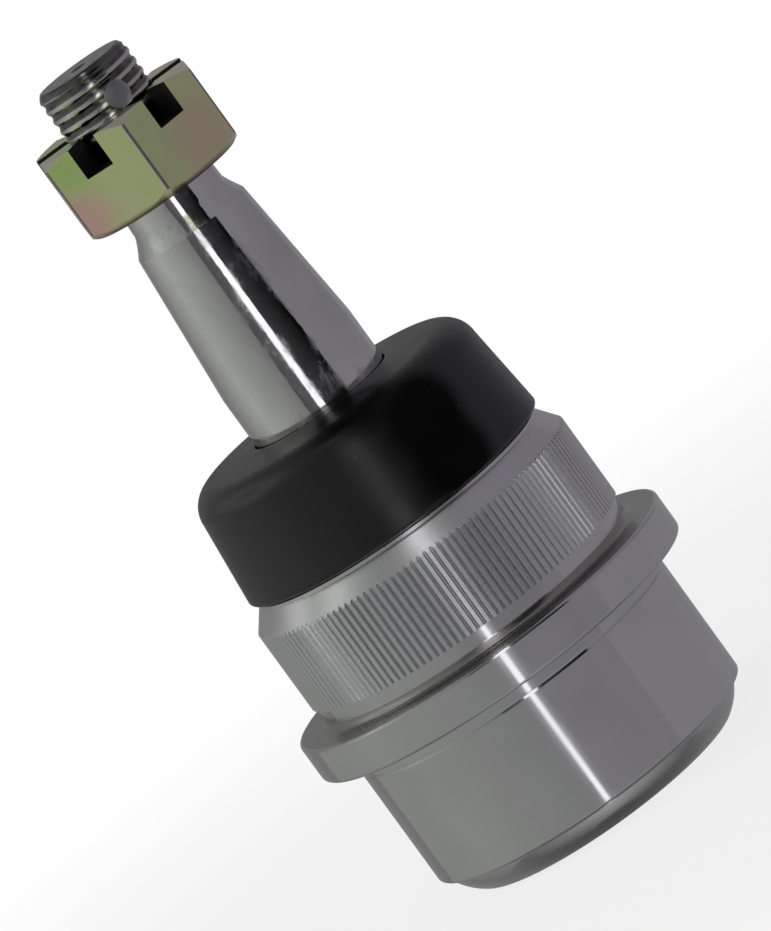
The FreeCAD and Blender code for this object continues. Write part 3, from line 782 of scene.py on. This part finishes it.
lowerBoot = turnOnLathe("lowerBoot", lowerProfile(), evenAngles(192), bootRubber, closed=True, sharpAngle=50)
upperBoot = turnOnLathe("upperBoot", upperProfile(), evenAngles(192), bootRubber, closed=True, sharpAngle=50)
bootLip = turnOnLathe("bootLip", lipProfile(), evenAngles(192), bootRubber, closed=True, sharpAngle=50)
for piece in (lowerBoot, upperBoot, bootLip):
    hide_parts("dust_boot")
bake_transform(lowerBoot)
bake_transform(upperBoot)
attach(bootLip, "boot_ring")
print("boot made")


# inner pieces stay as they are and get their finishes

innerFinishes = {
    "upper_race": plainMetal("bearingSteel", (0.5, 0.5, 0.49), 0.3),
    "lower_seat": plainMetal("seatPlastic", (0.72, 0.70, 0.64), 0.45, metallic=0.0),
    "cover_plate": turnedSteel("coverSteel", colour=(0.5, 0.5, 0.5), lines=2600, grain=0.4),
    "grease_plug": plainMetal("plugSteel", (0.34, 0.33, 0.31), 0.36),
    "boot_base_ring": plainMetal("ringSteel", (0.5, 0.5, 0.48), 0.3),
}
innerFinishes["boot_top_ring"] = innerFinishes["boot_base_ring"]
springFinish = plainMetal("springSteel", (0.30, 0.29, 0.28), 0.35)
for place in (1, 2, 3):
    innerFinishes[f"preload_washer_{place}"] = springFinish
for node, material in innerFinishes.items():
    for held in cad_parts[node].material_slots:
        held.material = material
print("inner pieces finished")


# studio: pale floor, white behind, grey cards that the metal reflects, soft lamps

studio = dict(cardDistance=0.6, floorSize=12.0, floorFadeFrom=0.08, floorFadeTo=0.30, floorWhite=0.8,
              roomLight=0.3, lampAim=0.06)
# heights of the cards' levels in metres: foot, the barrel's part, the change between the two sets, and top;
# the barrel mirrors heights near -0.07, the nut 0.05, the thread 0.065, the boot's wall and the taper 0.11
cardFoot, barrelLevel, changeFrom, changeTo, cardTop = -0.60, -0.14, -0.045, -0.03, 0.91
# each level of a card: height, azimuths of its two edges from the camera's side (degrees), greys or colours
# at the two edges, and the distance from the axis where it isn't cardDistance
cards = {
    "leftRearCard": [
        (cardFoot, -140, -90, 0.20, (0.34, 0.35, 0.34)),
        (barrelLevel, -140, -90, (0.34, 0.35, 0.33), (0.37, 0.385, 0.36)),
        (changeFrom, -140, -90, (0.34, 0.35, 0.33), (0.37, 0.385, 0.36)),
        (changeTo, -140, -90, (0.27, 0.275, 0.265), (0.47, 0.49, 0.46)),
        (cardTop, -140, -90, (0.27, 0.275, 0.265), (0.47, 0.49, 0.46)),
    ],
    "leftCard": [
        (cardFoot, -90, -1.7, (0.34, 0.35, 0.34), 0.36),
        (barrelLevel, -90, -1.7, (0.37, 0.385, 0.36), (0.31, 0.31, 0.32)),
        (changeFrom, -90, -1.7, (0.37, 0.385, 0.36), (0.31, 0.31, 0.32)),
        (changeTo, -90, -36, (0.47, 0.49, 0.46), (0.29, 0.30, 0.29)),
        (cardTop, -90, -36, (0.47, 0.49, 0.46), (0.29, 0.30, 0.29)),
    ],
    "leftEdgeCard": [
        (changeFrom, -3, -2.5, (0.30, 0.30, 0.31), (0.30, 0.30, 0.31)),
        (changeTo, -37, -21, (0.29, 0.30, 0.29), 0.23),
        (cardTop, -37, -21, (0.29, 0.30, 0.29), 0.23),
    ],
    "leftDarkCard": [
        (changeFrom, -2.5, -1.7, (0.30, 0.30, 0.31), (0.30, 0.30, 0.31)),
        (changeTo, -21, -5, (0.09, 0.09, 0.095), (0.13, 0.13, 0.14)),
        (cardTop, -21, -5, (0.09, 0.09, 0.095), (0.13, 0.13, 0.14)),
    ],
    "lightStrip": [
        (cardFoot, -1.7, 1.7, 0.9, 0.9),
        (-0.20, -1.7, 1.7, (1.6, 1.6, 1.65), (1.6, 1.6, 1.65)),
        (changeFrom, -1.7, 1.7, (1.6, 1.6, 1.65), (1.6, 1.6, 1.65)),
        (changeTo, -5, 5, (1.5, 1.5, 1.55), (1.5, 1.5, 1.55)),
        (cardTop, -5, 5, (1.5, 1.5, 1.55), (1.5, 1.5, 1.55)),
    ],
    "darkCard": [
        (cardFoot, 1.7, 60, 0.36, 0.33),
        (barrelLevel, 1.7, 60, (0.31, 0.30, 0.32), (0.27, 0.26, 0.28)),
        (changeFrom, 1.7, 60, (0.31, 0.30, 0.32), (0.27, 0.26, 0.28)),
        (changeTo, 5, 44, (0.05, 0.05, 0.055), 0.0),
        (cardTop, 5, 44, (0.05, 0.05, 0.055), 0.0),
    ],
    "rightCard": [
        (cardFoot, 60, 140, 0.33, 0.20),
        (barrelLevel, 60, 140, (0.31, 0.30, 0.325), (0.30, 0.29, 0.31)),
        (changeFrom, 60, 140, (0.31, 0.30, 0.325), (0.30, 0.29, 0.31)),
        (changeTo, 44, 140, (0.26, 0.245, 0.28), (0.23, 0.22, 0.24)),
        (cardTop, 44, 140, (0.26, 0.245, 0.28), (0.23, 0.22, 0.24)),
    ],
    "lowLeftCard": [
        (-0.59, -100, 0, 0.15, 0.42, 0.60),
        (cardFoot, -100, 0, 0.15, 0.50, 0.35),
        (cardFoot, -100, 0, 0.12, 0.30, 0.10),
    ],
    "lowRightCard": [
        (-0.59, 0, 100, 0.42, 0.15, 0.60),
        (cardFoot, 0, 100, 0.50, 0.15, 0.35),
        (cardFoot, 0, 100, 0.30, 0.12, 0.10),
    ],
    "rearCard": [
        (cardFoot, 138, 222, 0.22, 0.22),
        (barrelLevel, 138, 222, (0.28, 0.27, 0.29), (0.24, 0.245, 0.235)),
        (cardTop, 138, 222, (0.28, 0.27, 0.29), (0.26, 0.265, 0.255)),
    ],
}


def paintedLight(name):
    # gives off the colour painted on the mesh
    material = bpy.data.materials.new(name)
    material.use_nodes = True
    nodes, links = material.node_tree.nodes, material.node_tree.links
    nodes.clear()
    paint = nodes.new("ShaderNodeAttribute")
    paint.attribute_name = "paint"
    light = nodes.new("ShaderNodeEmission")
    light.inputs["Strength"].default_value = 1.0
    links.new(paint.outputs["Color"], light.inputs["Color"])
    links.new(light.outputs[0], nodes.new("ShaderNodeOutputMaterial").inputs["Surface"])
    return material


cardLight = paintedLight("cardLight")


def paintPoints(piece, paint):
    colours = piece.data.color_attributes.new("paint", "FLOAT_COLOR", "POINT")
    for held, colour in zip(colours.data, paint):
        held.color = colour


def reflectionOnly(piece):
    piece.visible_camera = False
    piece.visible_diffuse = False
    piece.visible_shadow = False
    piece.visible_transmission = False


def asColour(value):
    return value if isinstance(value, tuple) else (value, value, value)


def makeCard(name, levels):
    mesh = bmesh.new()
    steps = 24
    rings, paint = [], []
    for height, low, high, lowColour, highColour, *away in levels:
        far = away[0] if away else studio["cardDistance"]
        ring = []
        for k in range(steps + 1):
            share = k / steps
            azimuth = math.radians(low + (high - low) * share)
            ring.append(mesh.verts.new((far * math.sin(azimuth), -far * math.cos(azimuth), height)))
            ends = zip(asColour(lowColour), asColour(highColour))
            paint.append([first + (last - first) * share for first, last in ends] + [1])
        rings.append(ring)
    for lower, upper in zip(rings, rings[1:]):
        for k in range(steps):
            mesh.faces.new((lower[k], lower[k + 1], upper[k + 1], upper[k]))
    piece = finishMesh(name, mesh, cardLight)
    paintPoints(piece, paint)
    reflectionOnly(piece)


# rings above and below the cards: distance from the axis, height, grey
ceiling = [
    (0.62, 0.89, 0.27), (0.55, 1.10, 0.27), (0.45, 1.20, 0.27), (0.36, 1.25, 0.26), (0.31, 1.27, 0.24),
    (0.26, 1.28, 0.03), (0.0, 1.28, 0.01),
]
underside = [
    (0.62, -0.61, 0.22), (0.50, -0.62, 0.18), (0.35, -0.64, 0.14), (0.20, -0.64, 0.12), (0.0, -0.64, 0.09),
]


def makeLid(name, rings):
    profile = [Vector((away / mm, height / mm)) for away, height, grey in rings]
    piece = turnOnLathe(name, profile, evenAngles(48), cardLight)
    paint = []
    for vertex in piece.data.vertices:
        away = math.hypot(vertex.co.x, vertex.co.y)
        grey = min(rings, key=lambda ring: abs(ring[0] - away))[2]
        paint.append((grey, grey, grey, 1))
    paintPoints(piece, paint)
    reflectionOnly(piece)


for cardName, levels in cards.items():
    makeCard(cardName, levels)
makeLid("ceilingCard", ceiling)
makeLid("undersideCard", underside)


def makeFloor():
    mesh = bmesh.new()
    half = studio["floorSize"] / 2
    mesh.faces.new([mesh.verts.new((x * half, y * half, 0)) for x, y in ((-1, -1), (1, -1), (1, 1), (-1, 1))])
    material = bpy.data.materials.new("paleFloor")
    material.use_nodes = True
    nodes, links = material.node_tree.nodes, material.node_tree.links
    shader = nodes["Principled BSDF"]
    shader.inputs["Base Color"].default_value = (0.86, 0.86, 0.86, 1)
    shader.inputs["Roughness"].default_value = 0.8
    white = nodes.new("ShaderNodeEmission")
    white.inputs["Strength"].default_value = 1.0
    path = nodes.new("ShaderNodeLightPath")
    share = nodes.new("ShaderNodeMath")
    share.operation = "MULTIPLY"
    near = nodes.new("ShaderNodeVectorMath")
    near.operation = "LENGTH"
    links.new(nodes.new("ShaderNodeTexCoord").outputs["Object"], near.inputs[0])
    fade = nodes.new("ShaderNodeMapRange")  # less plain white near the object, so that its shadow shows
    fade.interpolation_type = "SMOOTHSTEP"
    fade.inputs["From Min"].default_value = studio["floorFadeFrom"]
    fade.inputs["From Max"].default_value = studio["floorFadeTo"]
    fade.inputs["To Min"].default_value = studio["floorWhite"]
    fade.inputs["To Max"].default_value = 1.0
    links.new(near.outputs["Value"], fade.inputs["Value"])
    links.new(fade.outputs["Result"], share.inputs[1])
    links.new(path.outputs["Is Camera Ray"], share.inputs[0])
    mix = nodes.new("ShaderNodeMixShader")
    links.new(share.outputs[0], mix.inputs["Fac"])
    links.new(shader.outputs[0], mix.inputs[1])
    links.new(white.outputs[0], mix.inputs[2])
    links.new(mix.outputs[0], nodes["Material Output"].inputs["Surface"])
    floor = finishMesh("floor", mesh, material)
    floor.visible_glossy = False


makeFloor()


def makeWorld():
    world = bpy.data.worlds.new("studioWorld")
    bpy.context.scene.world = world
    world.use_nodes = True
    nodes, links = world.node_tree.nodes, world.node_tree.links
    nodes.clear()
    room = nodes.new("ShaderNodeBackground")
    room.inputs["Color"].default_value = (1.0, 1.0, 1.0, 1)
    room.inputs["Strength"].default_value = studio["roomLight"]
    white = nodes.new("ShaderNodeBackground")
    white.inputs["Color"].default_value = (1, 1, 1, 1)
    white.inputs["Strength"].default_value = 1.0
    path = nodes.new("ShaderNodeLightPath")
    seen = nodes.new("ShaderNodeMath")
    seen.operation = "MAXIMUM"
    links.new(path.outputs["Is Camera Ray"], seen.inputs[0])
    links.new(path.outputs["Is Glossy Ray"], seen.inputs[1])
    through = nodes.new("ShaderNodeMath")
    through.operation = "MAXIMUM"
    links.new(seen.outputs[0], through.inputs[0])
    links.new(path.outputs["Is Transmission Ray"], through.inputs[1])
    mix = nodes.new("ShaderNodeMixShader")
    links.new(through.outputs[0], mix.inputs["Fac"])
    links.new(room.outputs[0], mix.inputs[1])
    links.new(white.outputs[0], mix.inputs[2])
    links.new(mix.outputs[0], nodes.new("ShaderNodeOutputWorld").inputs["Surface"])


makeWorld()

lamps = {
    # azimuth and elevation of the lamp, distance in metres, size in metres, power in watts
    "overheadLamp": dict(azimuth=0, elevation=66, distance=0.9, size=0.13, power=0.14),
    "leftLamp": dict(azimuth=-103, elevation=38, distance=1.0, size=0.3, power=2.2),
}


def makeLamp(name, azimuth, elevation, distance, size, power):
    light = bpy.data.lights.new(name, "AREA")
    light.shape = "DISK"
    light.size = size
    light.energy = power
    lamp = bpy.data.objects.new(name, light)
    bpy.context.scene.collection.objects.link(lamp)
    side, lift = math.radians(azimuth), math.radians(elevation)
    flat = math.cos(lift)
    place = Vector((math.sin(side) * flat, -math.cos(side) * flat, math.sin(lift))) * distance
    lamp.location = place + Vector((0, 0, studio["lampAim"]))
    lamp.rotation_euler = place.to_track_quat("Z", "Y").to_euler()
    lamp.visible_camera = False


for lampName, settings in lamps.items():
    makeLamp(lampName, **settings)
print("studio made")


# camera: from the front and a little above, rolled so that the stud leans to the upper left

# lengths in millimetres; the shifts go from the aim on the axis to the picture's middle
cameraView = dict(aimHeight=66.7, distance=1500.0, elevation=8.8, roll=35.9, lens=386.4,
                  shiftAlong=6.0, shiftAcross=2.37)


def makeCamera():
    lift = math.radians(cameraView["elevation"])
    aim = Vector((0, 0, cameraView["aimHeight"])) * mm
    toward = Vector((0, math.cos(lift), -math.sin(lift)))
    upright = Vector((0, math.sin(lift), math.cos(lift)))
    eye = aim - toward * cameraView["distance"] * mm
    sideways = Vector((1, 0, 0)) * cameraView["shiftAcross"] * mm
    middle = aim + sideways - upright * cameraView["shiftAlong"] * mm
    toward = (middle - eye).normalized()
    level = toward.cross(Vector((0, 0, 1))).normalized()
    upright = level.cross(toward)
    roll = math.radians(cameraView["roll"])
    right = level * math.cos(roll) - upright * math.sin(roll)
    up = level * math.sin(roll) + upright * math.cos(roll)
    data = bpy.data.cameras.new("camera")
    data.lens = cameraView["lens"]
    data.sensor_width = 36
    data.clip_start = 0.05
    data.clip_end = 20
    camera = bpy.data.objects.new("camera", data)
    bpy.context.scene.collection.objects.link(camera)
    camera.matrix_world = Matrix.Translation(eye) @ Matrix((right, up, -toward)).transposed().to_4x4()
    bpy.context.scene.camera = camera


makeCamera()
bpy.context.scene.view_settings.view_transform = "Standard"
print("camera placed")
